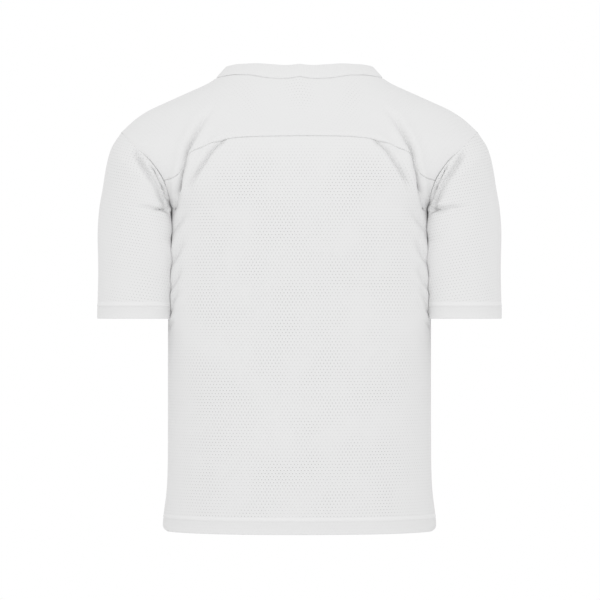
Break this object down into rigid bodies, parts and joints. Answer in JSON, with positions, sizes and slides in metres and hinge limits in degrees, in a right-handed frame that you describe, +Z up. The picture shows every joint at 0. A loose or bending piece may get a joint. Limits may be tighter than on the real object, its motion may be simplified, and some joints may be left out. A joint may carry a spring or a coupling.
{
  "type": "football jersey",
  "caption": "Short-sleeved football jersey of white mesh cloth with a shoulder yoke and rib collar, filled out as when worn, hollow inside.",
  "frame": {"origin": "between the shoulders, level with the points where the neckline crosses the shoulder lines", "axes": "+Z up towards the collar, +Y out of the back, -Y out of the front, +X towards the wearer's left"},
  "size_m": [0.6478, 0.2659, 0.7476],
  "materials": {
    "mesh_cloth": "white polyester mesh with a small round hole every 5.4 mm, soft and matt",
    "yoke_cloth": "white polyester mesh, closer and smoother, soft and matt",
    "rib_knit": "white rib knit, soft and matt"
  },
  "bodies": {
    "root": {"back": "mesh_cloth", "front": "mesh_cloth", "yoke": "yoke_cloth", "sleeve_left": "mesh_cloth", "sleeve_right": "mesh_cloth", "collar": "rib_knit"}
  },
  "joints": []
}
